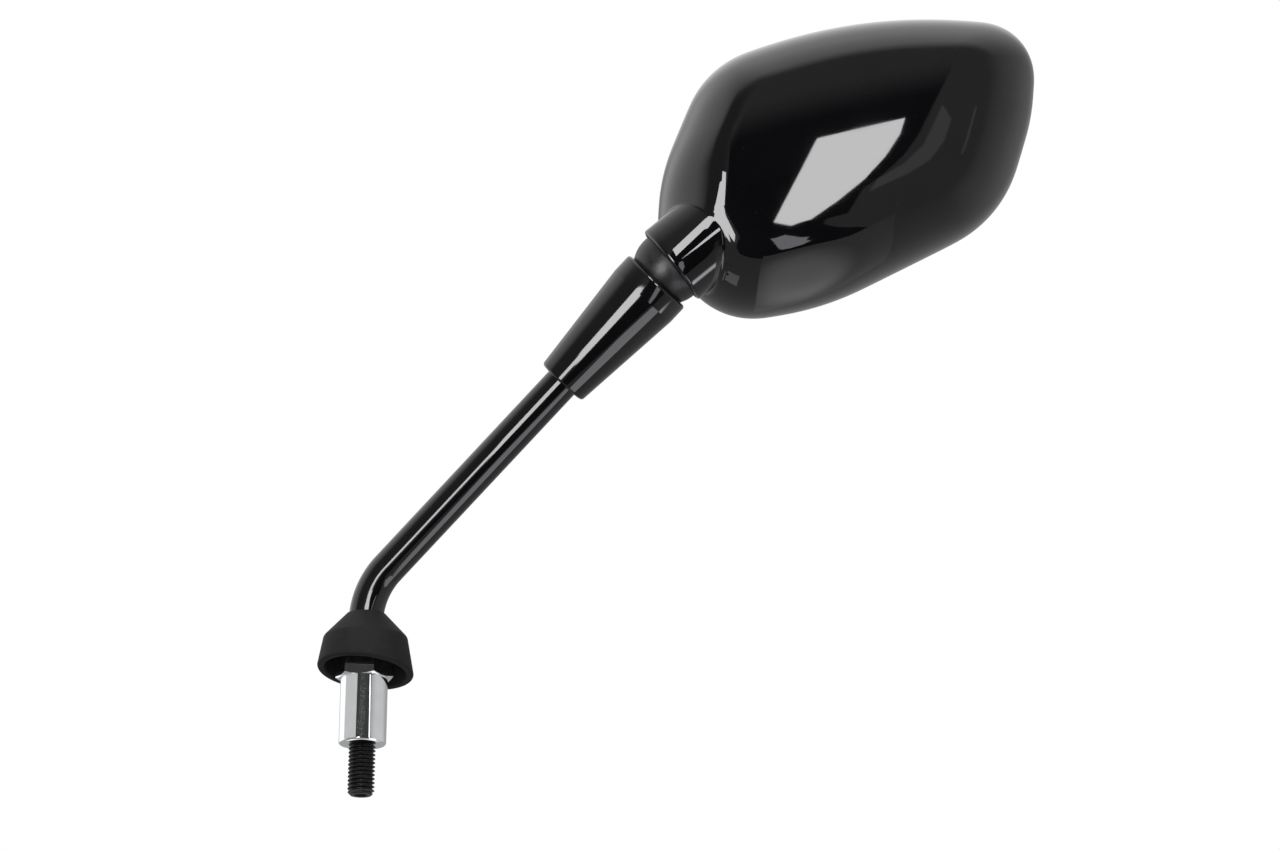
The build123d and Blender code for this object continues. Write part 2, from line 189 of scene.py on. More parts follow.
# Studio: cards that the gloss shows, with corners in millimetres. Upright ones in front of the
# object have (across, height) corners, and flat ones below it have (across, depth) corners.
FRONT_DEPTH = -220.0
LEFT_SOFTBOX = [
    (-98, 8), (-32, 74), (-40, 88), (0, 126), (20, 146), (33, 152), (45, 146), (70, 124), (72, 112),
    (54, 66), (10, 22), (-3, 36), (-60, -20),
]
RIGHT_SOFTBOX = [
    (136, 111), (170, 178), (234, 194), (231, 182), (221, 165), (206, 147), (186, 129), (165, 113),
    (150, 108),
]
SMALL_CARD = [
    (133, 95), (147, 95), (160, 78), (172, 58), (182, 45), (187, 20), (196, 0), (196, -25), (185, -25),
    (170, -5), (158, 25), (148, 55),
]
GREY_ARC = [
    (262, 205), (270, 195), (266, 178), (256, 163), (240, 152), (222, 143), (210, 137), (216, 147),
    (236, 160), (250, 175),
]
THIN_ARC = [(281, 168), (284, 168), (292, 205), (289, 205)]
DARK_PANEL = [
    (76, 70), (76, 200), (110, 205), (160, 217), (200, 227), (240, 240), (268, 243), (268, 232),
    (258, 210), (245, 180), (235, 165), (220, 150), (205, 138), (185, 100), (165, 80),
]
PANEL_FADE_WAY = (-0.25, 0, 1)
PANEL_FADE_START = 147.0
PANEL_FADE_END = 176.0
DARK_FOOT = [
    (-45, -130), (-20, -52), (0, -8), (56, 52), (76, 72), (165, 80), (180, 95), (197, 66), (213, 42),
    (232, 20), (255, -10), (280, -45), (260, -130),
]
NECK_DEPTH = -95.0
NECK_STRIP = [
    (107, 174), (117.5, 188.5), (121, 189), (121.5, 193), (126, 192), (125.5, 176), (123, 177),
    (114, 163),
]
FOOT_DEPTH = -50.0
FOOT_FLAG = [(-24, 4), (-24, 46), (20, 46), (20, 4)]
FOOT_CARD = [(-30, -75, 0), (-80, 0, 0), (-80, 0, 50), (-30, -75, 50)]
FOOT_PLATE_HEIGHT = -60.0
FOOT_PLATE = [(-40, -10), (40, -10), (40, 60), (-40, 60)]
TABLE_HEIGHT = -200.0
TABLE = [(145, -150), (200, 12), (345, -55), (350, -150), (262, -222), (195, -238)]
SHELF_HEIGHT = 150.0
SHELF = [(146, -79), (180, -82), (215, -95), (215, -18), (146, -18)]
SHELF_CENTRE = (167, -50)
SHELF_FADE_START = 9.0
SHELF_FADE_END = 30.0
CARD_GAP = 2.0

# Levels of the cards and of the surroundings in the gloss. A way is (turn to the right, rise) in
# degrees, and its edges are the angles from it where its level starts and is full.
SOFTBOX_LEVEL = 13.0
SMALL_LEVEL = 3.0
TABLE_LEVEL = 3.2
SHELF_LEVEL = 1.4
SHELF_FAR_LEVEL = 0.5
FOOT_LEVEL = 1.3
ARC_LEVEL = 0.8
DARK_LEVEL = 0.045
LOW_LEVEL = 0.38
HIGH_LEVEL = 1.3
HIGH_START = 0.5
HIGH_END = 1.08
LEFT_LEVEL = 1.2
LEFT_WAY = (-112.0, 18.0)
LEFT_EDGES = (48.0, 22.0)
RIGHT_LEVEL = 0.6
RIGHT_WAY = (90.0, -5.0)
RIGHT_EDGES = (56.63, 18.195)
FRONT_LEVEL = 0.2
FRONT_WAY = (-52.0, 0.0)
FRONT_EDGES = (40.0, 15.0)
REAR_LEVEL = 1.0
REAR_WAY = (180.0, 50.0)
REAR_EDGES = (30.0, 10.0)
LILAC = (0.93, 0.93, 1.0)
WHITE = (1.0, 1.0, 1.0)

# Light on the object, lamps and the floor
PLAIN_LEVEL = 0.75
WHITE_LEVEL = 1.0
TOP_LIGHT_PLACE = (-200, -700, 900)
TOP_LIGHT_SIZE = 1000.0
TOP_LIGHT_POWER = 12.0
COLLAR_LIGHT_PLACE = (292, -45, -22)
COLLAR_LIGHT_TARGET = (134, -58, 167)
COLLAR_LIGHT_WIDTH = 80.0
COLLAR_LIGHT_HEIGHT = 50.0
COLLAR_LIGHT_SPREAD = 16.0
COLLAR_LIGHT_POWER = 0.00075
FLOOR_HEIGHT = -1200.0
FLOOR_REACH = 30000.0

# Bodies and frames from the imported model
BODIES = frame["record"]["behaviour"]["bodies"]
BODY_OF = {node: body for body, members in BODIES.items() for node in members}
JOINTS = {joint["name"]: joint for joint in frame["joints"]}
PIVOT = Vector(JOINTS["head_spin"]["pos_m"])
COLLAR_AXIS = Vector(JOINTS["head_spin"]["axis"]).normalized()
BACK_WAY = Vector(JOINTS["head_tilt_up"]["axis"]).normalized()
UP = Vector((0, 0, 1))
BEND_POINT = UP * BEND_HEIGHT * MM
STEM_AXIS = (PIVOT - BEND_POINT).normalized()


def level_side(way):
    """Horizontal direction square to a direction."""
    return Vector((-way.y, way.x, 0)).normalized()


def own_frame(origin, x_way, z_way):
    """Matrix from a piece's own millimetres to metres in the object's frame."""
    turn = Matrix((x_way, z_way.cross(x_way), z_way)).transposed().to_4x4()
    return Matrix.Translation(origin) @ turn @ Matrix.Scale(MM, 4)


BASE = Matrix.Scale(MM, 4)
HEAD = own_frame(PIVOT, level_side(BACK_WAY), BACK_WAY)
COLLAR = own_frame(PIVOT, BACK_WAY, COLLAR_AXIS)
STEM = own_frame(PIVOT, level_side(STEM_AXIS), STEM_AXIS)
HEAD_TO_COLLAR = COLLAR.inverted() @ HEAD


# Mesh making: a skin is woven through rows of points, and a row of one point closes an end
def round_ways(steps=TURN_STEPS):
    """Angles of even steps round a full turn."""
    return [2 * pi * k / steps for k in range(steps)]


def rounded(*corners, steps=CORNER_STEPS):
    """Points of an outline whose corners are (a, b) or (a, b, rounding)."""
    points = []
    for i, corner in enumerate(corners):
        here = Vector(corner[:2])
        if len(corner) < 3:
            points.append(here)
            continue
        before = (Vector(corners[i - 1][:2]) - here).normalized()
        after = (Vector(corners[(i + 1) % len(corners)][:2]) - here).normalized()
        half = before.angle(after) / 2
        centre = here + (before + after).normalized() * (corner[2] / sin(half))
        start = here + before * (corner[2] / tan(half)) - centre
        side = 1 if after.x * before.y - after.y * before.x > 0 else -1
        for k in range(steps + 1):
            points.append(centre + Matrix.Rotation(side * (pi - 2 * half) * k / steps, 2) @ start)
    return points


def turned(profile, steps=TURN_STEPS):
    """Rows of a skin turned about Z from (radius, height) points."""
    rows = []
    for radius, height in profile:
        if radius < AXIS_RADIUS:
            rows.append([Vector((0, 0, height))])
        else:
            rows.append([Vector((radius * cos(a), radius * sin(a), height)) for a in round_ways(steps)])
    return rows


def woven(rows, loop=False):
    """Points and faces of a skin through rows; a loop joins the last row to the first."""
    points = [point for row in rows for point in row]
    starts = [sum(len(row) for row in rows[:i]) for i in range(len(rows))]
    faces = []
    for i in range(len(rows) if loop else len(rows) - 1):
        lower, upper = rows[i], rows[(i + 1) % len(rows)]
        a, b = starts[i], starts[(i + 1) % len(rows)]
        for j in range(max(len(lower), len(upper))):
            k = (j + 1) % max(len(lower), len(upper))
            if len(lower) == 1:
                faces.append((a, b + k, b + j))
            elif len(upper) == 1:
                faces.append((a + j, a + k, b))
            else:
                faces.append((a + j, a + k, b + k, b + j))
    return points, faces


def moved(skin, matrix):
    """The same skin in another frame."""
    return [matrix @ point for point in skin[0]], skin[1]


def joined(*skins):
    """One set of points and faces from several."""
    points, faces = [], []
    for some_points, some_faces in skins:
        faces += [tuple(index + len(points) for index in face) for face in some_faces]
        points += some_points
    return points, faces


def add_piece(name, skin, node, material, crease=SHARP_ANGLE):
    """Piece with a skin in metres that stands for a solid and rides on its body."""
    mesh = bpy.data.meshes.new(name)
    mesh.from_pydata(skin[0], [], skin[1])
    soft = bmesh.new()
    soft.from_mesh(mesh)
    bmesh.ops.remove_doubles(soft, verts=soft.verts, dist=WELD_GAP)
    bmesh.ops.recalc_face_normals(soft, faces=soft.faces)
    soft.to_mesh(mesh)
    soft.free()
    mesh.shade_smooth()
    mesh.set_sharp_from_angle(angle=radians(crease))
    mesh.materials.append(material)
    piece = bpy.data.objects.new(name, mesh)
    bpy.context.scene.collection.objects.link(piece)
    body = BODY_OF[node]
    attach(piece, body)
    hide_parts(node)


# Materials
def new_material(name):
    """Material with its node tree, its main shader and the place on the object in metres."""
    material = bpy.data.materials.new(name)
    material.use_nodes = True
    tree = material.node_tree
    place = tree.nodes.new("ShaderNodeTexCoord").outputs["Object"]
    return material, tree, tree.nodes["Principled BSDF"], place


def noise(tree, place, size, detail=2.0):
    """Noise whose blotches are about a size in millimetres across."""
    node = tree.nodes.new("ShaderNodeTexNoise")
    node.inputs["Scale"].default_value = 1 / (size * MM)
    node.inputs["Detail"].default_value = detail
    tree.links.new(place, node.inputs["Vector"])
    return node.outputs["Fac"]


def ramp(tree, value, low, high, start=0.3, end=0.7):
    """Colour or grey that runs from low to high as a value goes from start to end."""
    node = tree.nodes.new("ShaderNodeValToRGB")
    for element, level_at, shade in zip(node.color_ramp.elements, (start, end), (low, high)):
        element.position = level_at
        element.color = (*shade, 1) if isinstance(shade, tuple) else (shade, shade, shade, 1)
    tree.links.new(value, node.inputs["Fac"])
    return node.outputs["Color"]


def relief(tree, shader, value, height, strength):
    """Bump of a height in millimetres from a value."""
    node = tree.nodes.new("ShaderNodeBump")
    node.inputs["Distance"].default_value = height * MM
    node.inputs["Strength"].default_value = strength
    tree.links.new(value, node.inputs["Height"])
    tree.links.new(node.outputs["Normal"], shader.inputs["Normal"])


def finish_material(
    name, dark, light, patch, rough, metal=0.0, gloss=0.5, grain=0.4, depth=0.02, strength=0.3
):
    """Material whose colour and roughness vary in patches, with a fine grain in its surface."""
    material, tree, shader, place = new_material(name)
    shader.inputs["Metallic"].default_value = metal
    shader.inputs["Specular IOR Level"].default_value = gloss
    blotches = noise(tree, place, patch, detail=3.0)
    tree.links.new(ramp(tree, blotches, dark, light), shader.inputs["Base Color"])
    tree.links.new(ramp(tree, blotches, rough[0], rough[1]), shader.inputs["Roughness"])
    relief(tree, shader, noise(tree, place, grain), depth, strength)
    return material


def dusty_gloss(name, dark, light, rough, peel, peel_depth):
    """Gloss black with a soft orange peel and a few specks of dust."""
    material, tree, shader, place = new_material(name)
    dots = noise(tree, place, SPECK_SIZE, detail=0.0)
    specks = ramp(tree, dots, 0.0, 1.0, SPECK_START, SPECK_END)
    mix = tree.nodes.new("ShaderNodeMix")
    mix.data_type = "RGBA"
    mix.inputs["B"].default_value = (*DUST_COLOUR, 1)
    tree.links.new(specks, mix.inputs["Factor"])
    tree.links.new(ramp(tree, noise(tree, place, TINT_PATCH), dark, light), mix.inputs["A"])
    tree.links.new(mix.outputs["Result"], shader.inputs["Base Color"])
    haze = ramp(tree, noise(tree, place, HAZE_PATCH, detail=4.0), rough[0], rough[1])
    tree.links.new(haze, shader.inputs["Roughness"])
    relief(tree, shader, noise(tree, place, peel, detail=1.0), peel_depth, PEEL_STRENGTH)
    return material


HOUSING_GLOSS = dusty_gloss(
    "housing_gloss", (0.0012, 0.0012, 0.0018), (0.0022, 0.0022, 0.003), (0.03, 0.05), 5.0, 0.004
)
SLEEVE_GLOSS = dusty_gloss(
    "sleeve_gloss", (0.0018, 0.0018, 0.0022), (0.003, 0.003, 0.0036), (0.05, 0.08), 4.0, 0.0015
)
STEM_PAINT = dusty_gloss(
    "stem_paint", (0.0016, 0.0016, 0.002), (0.003, 0.003, 0.0034), (0.05, 0.09), 2.5, 0.002
)
BALL_SATIN = finish_material(
    "ball_satin", (0.006, 0.006, 0.007), (0.01, 0.01, 0.011), 3.0, (0.32, 0.42),
    gloss=0.4, grain=0.3, depth=0.01,
)
RUBBER = finish_material(
    "rubber", (0.009, 0.009, 0.0095), (0.013, 0.013, 0.0135), 2.5, (0.6, 0.72),
    gloss=0.12, grain=0.25, depth=0.03,
)
CHROME = finish_material(
    "chrome", (0.80, 0.81, 0.83), (0.87, 0.88, 0.89), 6.0, (0.03, 0.05),
    metal=1.0, grain=1.2, depth=0.001,
)
BLACK_OXIDE = finish_material(
    "black_oxide", (0.003, 0.003, 0.0032), (0.008, 0.008, 0.0085), 1.2, (0.32, 0.48), gloss=0.3, grain=0.2
)
ZINC = finish_material(
    "zinc_steel", (0.5, 0.5, 0.51), (0.66, 0.66, 0.68), 1.5, (0.25, 0.38),
    metal=1.0, grain=0.3, depth=0.01,
)
SPRING_STEEL = finish_material(
    "spring_steel", (0.28, 0.28, 0.3), (0.42, 0.42, 0.43), 1.5, (0.28, 0.4),
    metal=1.0, grain=0.3, depth=0.01,
)
ACETAL = finish_material(
    "acetal", (0.62, 0.61, 0.56), (0.72, 0.71, 0.66), 4.0, (0.35, 0.45), grain=0.5, depth=0.01
)
PLATE_PLASTIC = finish_material(
    "plate_plastic", (0.02, 0.02, 0.021), (0.032, 0.032, 0.033), 3.0, (0.45, 0.6), grain=0.4
)
FOAM = finish_material(
    "foam", (0.05, 0.05, 0.05), (0.09, 0.09, 0.09), 1.0, (0.85, 0.95), grain=0.3, depth=0.1, strength=0.6
)
SILVERED = finish_material(
    "silvered_glass", (0.84, 0.86, 0.87), (0.87, 0.89, 0.9), 30.0, (0.004, 0.012),
    metal=1.0, grain=40.0, depth=0.001,
)


# Stud: a set screw with its thread cut, a pointed lead at the end and a hexagon socket
def hexagon_reach(flats, way):
    """Distance from the middle of a hexagon to its side, with corners at 0, 60, ... degrees."""
    return flats / 2 / cos((way % (pi / 3)) - pi / 6)


def thread_radius(way, height):
    """Radius of the thread's surface: crest, straight flank or root."""
    phase = (height / STUD_PITCH - way / (2 * pi)) % 1.0
    aside = abs(phase - 0.5) * STUD_PITCH
    flank = (aside - THREAD_CREST / 2) / (THREAD_DEPTH * tan(THREAD_FLANK))
    radius = STUD_DIA / 2 - THREAD_DEPTH * min(max(flank, 0.0), 1.0)
    lead = STUD_DIA / 2 - STUD_CHAMFER + height + STUD_REACH
    return min(radius, lead)


def stud_skin():
    def round_row(reach, height):
        return [Vector((reach(a) * cos(a), reach(a) * sin(a), height)) for a in round_ways()]

    def key_row(height, widening=0.0):
        return round_row(lambda a: hexagon_reach(STUD_KEY_FLATS, a) + widening, height)

    rows = [[Vector((0, 0, STUD_KEY_DEPTH - STUD_REACH))]]
    rows.append(key_row(STUD_KEY_DEPTH - STUD_REACH))
    rows.append(key_row(STUD_KEY_BEVEL - STUD_REACH))
    rows.append(key_row(-STUD_REACH, STUD_KEY_BEVEL))
    step = STUD_PITCH / THREAD_STEPS
    count = int((STUD_REACH + THREAD_ENTRY) / step)
    for k in range(count):
        height = k * step - STUD_REACH
        rows.append(round_row(lambda a: thread_radius(a, height), height))
    rows.append([Vector((0, 0, count * step - STUD_REACH))])
    return woven(rows)


add_piece("mounting_stud_threaded", moved(stud_skin(), BASE), "mounting_stud", BLACK_OXIDE, crease=50.0)


# Adapter: turned body with a hexagon whose corners are bevelled
def adapter_skin():
    entry = (ADAPTER_ENTRY_DIA - SPIGOT_DIA) / 2
    bore = SPIGOT_DIA / 2 + SPIGOT_CLEARANCE
    top = ADAPTER_BODY + ADAPTER_HEX
    inner = ADAPTER_FLATS / 2
    drop = (ADAPTER_FLATS / sqrt(3) - inner) * tan(NUT_BEVEL)
    body = rounded(
        (bore, entry),
        (ADAPTER_ENTRY_DIA / 2, 0),
        (ADAPTER_DIA / 2, 0, ADAPTER_EDGE),
        (ADAPTER_DIA / 2, ADAPTER_BODY),
    )
    rows = turned(body)
    levels = [drop * k / HEX_ROWS for k in range(HEX_ROWS + 1)]
    levels += [ADAPTER_HEX - rise for rise in levels[::-1]]
    for rise in levels:
        reach = inner + min(rise, ADAPTER_HEX - rise) / tan(NUT_BEVEL)
        row = []
        for way in round_ways():
            side = min(hexagon_reach(ADAPTER_FLATS, way), reach)
            way += HEX_TURN
            row.append(Vector((side * cos(way), side * sin(way), ADAPTER_BODY + rise)))
        rows.append(row)
    rows += turned([(bore, top)])
    return woven(rows, loop=True)


add_piece("adapter_chromed", moved(adapter_skin(), BASE), "adapter", CHROME, crease=20.0)


# Stem: round bar with one bend, its spigot below and the stepped bolt above
def stem_skin():
    start = UP * STEM_BASE
    end = PIVOT / MM - STEM_AXIS * BALL_SEATING
    bend = STEM_AXIS.angle(UP)
    side = level_side(STEM_AXIS)
    inward = side.cross(UP)
    hub = BEND_POINT / MM - UP * BEND_RADIUS * tan(bend / 2) + inward * BEND_RADIUS
    stations = [(start, 0.0)]
    for k in range(BEND_STEPS + 1):
        turn = bend * k / BEND_STEPS
        stations.append((hub + (UP * sin(turn) - inward * cos(turn)) * BEND_RADIUS, turn))
    stations.append((end, bend))
    rows = []
    for middle, turn in stations:
        across = inward * cos(turn) - UP * sin(turn)
        rows.append([middle + (across * cos(a) + side * sin(a)) * (STEM_DIA / 2) for a in round_ways()])
    rows.insert(0, [start])
    rows.append([end])
    bar = moved(woven(rows), BASE)
    spigot = turned([
        (0, SPIGOT_FOOT),
        (SPIGOT_DIA / 2, SPIGOT_FOOT),
        (SPIGOT_DIA / 2, STEM_BASE),
        (0, STEM_BASE),
    ])
    bolt = turned([
        (0, -BALL_SEATING),
        (SHANK_DIA / 2, -BALL_SEATING),
        (SHANK_DIA / 2, SHANK_TOP),
        (PIVOT_THREAD_DIA / 2, SHANK_TOP),
        (PIVOT_THREAD_DIA / 2, THREAD_END),
        (0, THREAD_END),
    ])
    return joined(bar, moved(woven(spigot), BASE), moved(woven(bolt), STEM))


add_piece("stem_painted", stem_skin(), "stem", STEM_PAINT)


# Boot: turned rubber cap whose rim lies in a tilted plane
def boot_skin():
    neck = STEM_DIA / 2 + BOOT_CLEARANCE
    shoulder = BOOT_SHOULDER_DIA / 2
    drop = BOOT_SHOULDER_HEIGHT - BOOT_RIM_HEIGHT
    flare = (BOOT_RIM_DIA - BOOT_SHOULDER_DIA) / 2 / drop
    columns = []
    for way in round_ways():
        slope = tan(BOOT_RIM_LEAN) / cos(BOOT_RIM_NOD) * cos(way) + tan(BOOT_RIM_NOD) * sin(way)
        rim = BOOT_RIM_DIA / 2 / (1 - flare * slope)
        inner_rim = rim - BOOT_WALL
        columns.append(rounded(
            (neck, BOOT_TOP),
            (neck, BOOT_TOP - BOOT_NECK),
            (shoulder - BOOT_WALL, BOOT_SHOULDER_HEIGHT, BOOT_ROUNDING),
            (inner_rim, BOOT_RIM_HEIGHT - slope * inner_rim, BOOT_RIM_ROUNDING),
            (rim, BOOT_RIM_HEIGHT - slope * rim, BOOT_RIM_ROUNDING),
            (shoulder, BOOT_SHOULDER_HEIGHT, BOOT_ROUNDING),
            (neck + BOOT_LIP, BOOT_TOP, BOOT_LIP_ROUNDING),
        ))
    rows = []
    for points in zip(*columns):
        ring = zip(points, round_ways())
        rows.append([Vector((point.x * cos(way), point.x * sin(way), point.y)) for point, way in ring])
    return woven(rows, loop=True)


add_piece("boot_rubber", moved(boot_skin(), BASE), "boot", RUBBER)


# Cone sleeve and ball
def sleeve_skin():
    top = -BALL_SEATING
    foot = top - SLEEVE_LENGTH
    profile = rounded(
        (STEM_DIA / 2, foot),
        (SLEEVE_FOOT_DIA / 2, foot, SLEEVE_ROUNDING),
        (SLEEVE_TOP_DIA / 2, top - SLEEVE_BAND, SLEEVE_ROUNDING),
        (SLEEVE_TOP_DIA / 2, top, SLEEVE_ROUNDING),
        (STEM_DIA / 2, top),
    )
    return woven(turned(profile), loop=True)


def ball_skin():
    low = asin(-BALL_SEATING / BALL_RADIUS)
    high = pi / 2 - asin(PIVOT_THREAD_DIA / 2 / BALL_RADIUS)
    profile = [(SHANK_DIA / 2, SHANK_TOP), (SHANK_DIA / 2, -BALL_SEATING)]
    for k in range(BALL_STEPS + 1):
        rise = low + (high - low) * k / BALL_STEPS
        profile.append((BALL_RADIUS * cos(rise), BALL_RADIUS * sin(rise)))
    profile.append((PIVOT_THREAD_DIA / 2, SHANK_TOP))
    return woven(turned(profile), loop=True)


add_piece("cone_sleeve_moulded", moved(sleeve_skin(), STEM), "cone_sleeve", SLEEVE_GLOSS)
add_piece("swivel_ball_satin", moved(ball_skin(), STEM), "swivel_ball", BALL_SATIN)


# Head: outline rings, skirt, dome and the collar blended into it
def outline(margin, share):
    """Ring inside the rim by a margin, with the sides moved in by a share of the skirt's insets."""
    points = [Vector(corner[:2]) for corner in RIM_CORNERS]
    ways = [(after - point).normalized() for point, after in zip(points, points[1:] + points[:1])]
    starts = []
    for point, way, (_, _, _, inset, _) in zip(points, ways, RIM_CORNERS):
        starts.append(point + Vector((-way.y, way.x)) * (margin + share * inset))
    corners = []
    for i, (_, _, rounding, _, top_rounding) in enumerate(RIM_CORNERS):
        gap = starts[i] - starts[i - 1]
        reach = gap.cross(ways[i]) / ways[i - 1].cross(ways[i])
        place = starts[i - 1] + ways[i - 1] * reach
        corners.append((*place, rounding + share * (top_rounding - rounding) - margin))
    bends = rounded(*corners, steps=ARC_STEPS)
    ring = []
    for i, point in enumerate(bends):
        ring.append(point)
        if (i + 1) % (ARC_STEPS + 1) == 0:
            following = bends[(i + 1) % len(bends)]
            ring += [point.lerp(following, k / RUN_STEPS) for k in range(1, RUN_STEPS)]
    for _ in range(OUTLINE_PASSES):
        ring = [(ring[i - 1] + ring[i] * 2 + ring[(i + 1) % len(ring)]) / 4 for i in range(len(ring))]
    return ring


def dome_height(point, margin):
    """Height of the domed panel over a point."""
    aside = (point - DOME_CENTRE).length
    return DOME_RISE - DOME_RADIUS + sqrt((DOME_RADIUS - margin) ** 2 - aside**2)


def eased_min(a, b):
    """The lower of two heights, with the change from one to the other rounded."""
    near = max(DOME_BLEND - abs(a - b), 0) / DOME_BLEND
    return min(a, b) - near * near * DOME_BLEND / 4


def pillow_rows(margin):
    """Rows of the head's pillow shape from above the rim to the middle of the dome."""
    first = asin(RIM_ROUNDING / SKIRT_RISE)
    rows = []
    for k in range(SKIRT_ROWS + 1):
        rise = first + (SKIRT_TOP_ANGLE - first) * k / SKIRT_ROWS
        share = (1 - cos(rise)) / (1 - cos(SKIRT_TOP_ANGLE))
        height = SKIRT_RISE * sin(rise) - RIM_DEPTH
        ring = outline(margin, share)
        rows.append([(*point, eased_min(height - margin, dome_height(point, margin))) for point in ring])
    for k in range(1, DOME_ROWS):
        inner = [DOME_CENTRE + (point - DOME_CENTRE) * (1 - k / DOME_ROWS) for point in ring]
        height = SKIRT_RISE * (1 + k / DOME_ROWS) - RIM_DEPTH
        rows.append([(*point, eased_min(height, dome_height(point, margin))) for point in inner])
    rows.append([(*DOME_CENTRE, dome_height(DOME_CENTRE, margin))])
    return [[Vector(point) for point in row] for row in rows]


def rim_rows():
    """Rows round the rim, from its inner to its outer edge."""
    rows = []
    for margin, side in ((HOUSING_WALL - RIM_ROUNDING, 1), (RIM_ROUNDING, -1)):
        for k in range(RIM_STEPS + 1):
            turn = pi / 2 * (k if side > 0 else RIM_STEPS - k) / RIM_STEPS
            ring = outline(margin + side * RIM_ROUNDING * cos(turn), 0.0)
            height = RIM_ROUNDING * (1 - sin(turn)) - RIM_DEPTH
            rows.append([Vector((*point, height)) for point in ring])
    return rows


def collar_skin(pillow):
    """Collar in its own frame, from its inner wall over the mouth to a fillet on the pillow."""
    points, faces = moved(pillow, HEAD_TO_COLLAR)
    surface = BVHTree.FromPolygons(points, faces)
    outer = COLLAR_INNER + COLLAR_WALL
    mouth = rounded(
        (COLLAR_INNER, RING_STEP_TOP),
        (COLLAR_INNER, MOUTH_OFFSET, COLLAR_WALL - COLLAR_ROUNDING),
        (outer, MOUTH_OFFSET, COLLAR_ROUNDING),
        (outer, COLLAR_DEPTH),
    )[:-1]
    columns = []
    for way in round_ways(COLLAR_COLUMNS):
        out = Vector((cos(way), sin(way), 0))

        def clear_of_pillow(depth):
            centre = out * (outer + COLLAR_FILLET) + UP * depth
            place, normal, _, _ = surface.find_nearest(centre)
            return (centre - place).dot(normal) - COLLAR_FILLET

        low, high = MOUTH_OFFSET, MOUTH_OFFSET
        while clear_of_pillow(high) > 0 and high < COLLAR_DEPTH:
            low = high
            high += COLLAR_PROBE
        for _ in range(COLLAR_HALVINGS):
            middle = (low + high) / 2
            if clear_of_pillow(middle) > 0:
                low = middle
            else:
                high = middle
        centre = out * (outer + COLLAR_FILLET) + UP * low
        place = surface.find_nearest(centre)[0]
        start = -out
        end = (place - centre).normalized()
        column = [out * COLLAR_INNER + UP * (low + COLLAR_FILLET)]
        column += [out * point.x + UP * point.y for point in mouth]
        lip = column[-1]
        foot = out * outer + UP * low
        column += [lip.lerp(foot, j / RUN_STEPS) for j in range(1, RUN_STEPS)]
        for j in range(FILLET_STEPS + 1):
            column.append(centre + start.slerp(end, j / FILLET_STEPS) * COLLAR_FILLET)
        column.append(column[-1] + end * COLLAR_TUCK)
        columns.append(column)
    return woven([list(row) for row in zip(*columns)])


def inside_collar(point):
    """True for a point of the head that lies in the collar's bore."""
    place = HEAD_TO_COLLAR @ point
    return place.xy.length < COLLAR_INNER and -COLLAR_DEPTH < place.z < COLLAR_DEPTH


def shell_skin(rows):
    """Wall of the head from the inner to the outer skin, open where the collar's bore is."""
    points, faces = woven(rows)
    hidden = [inside_collar(point) for point in points]
    return points, [face for face in faces if not any(hidden[index] for index in face)]


def socket_skin():
    """Domed cup that the ball's seat bears on."""
    outer = SOCKET_INNER + SOCKET_WALL
    opening = pi / 2 - OPENING_ANGLE
    inner_foot = asin(RING_STEP_TOP / SOCKET_INNER)
    outer_foot = acos((COLLAR_INNER + COLLAR_WALL / 2) / outer)
    profile = []
    for radius, start, end in ((SOCKET_INNER, opening, inner_foot), (outer, outer_foot, opening)):
        for k in range(SOCKET_STEPS + 1):
            rise = start + (end - start) * k / SOCKET_STEPS
            profile.append((radius * cos(rise), radius * sin(rise)))
    return woven(turned(profile), loop=True)


def boss_skin(x, y):
    """Post for one screw of the backing plate."""
    top = dome_height(Vector((x, y)), HOUSING_WALL)
    profile = [(0, BOSS_FOOT), (BOSS_DIA / 2, BOSS_FOOT), (BOSS_DIA / 2, top), (0, top)]
    rows = turned(profile, BOSS_STEPS)
    return moved(woven(rows), Matrix.Translation((x, y, 0)))


outer_rows = pillow_rows(0.0)
inner_rows = pillow_rows(HOUSING_WALL)
add_piece(
    "housing_moulded",
    joined(
        moved(shell_skin(inner_rows[::-1] + rim_rows() + outer_rows), HEAD),
        moved(collar_skin(woven(outer_rows)), COLLAR),
        moved(socket_skin(), COLLAR),
        *[moved(boss_skin(x, y), HEAD) for x, y in BOSS_PLACES],
    ),
    "housing",
    HOUSING_GLOSS,
    crease=40.0,
)


# Mirror glass: convex sheet with a ground edge
def glass_height(point, depth):
    """Height of a face of the glass, a depth behind its front."""
    aside = (point - GLASS_CENTRE).length
    return GLASS_RECESS - RIM_DEPTH + GLASS_RADIUS - sqrt((GLASS_RADIUS - depth) ** 2 - aside**2)


def glass_skin():
    edge = HOUSING_WALL + GLASS_GAP
    ring = outline(edge, 0.0)
    bevelled = outline(edge + GLASS_BEVEL, 0.0)
    rows = []
    for depth, way in ((0.0, 1), (GLASS_WALL, -1)):
        face_rows = [[(*GLASS_CENTRE, glass_height(GLASS_CENTRE, depth))]]
        for k in range(1, DOME_ROWS + 1):
            inner = [GLASS_CENTRE + (point - GLASS_CENTRE) * (k / DOME_ROWS) for point in bevelled]
            face_rows.append([(*point, glass_height(point, depth)) for point in inner])
        lip = depth + GLASS_BEVEL * way
        face_rows.append([(*point, glass_height(point, lip)) for point in ring])
        rows += face_rows[::way]
    return woven([[Vector(point) for point in row] for row in rows])


add_piece("mirror_glass_silvered", moved(glass_skin(), HEAD), "mirror_glass", SILVERED)


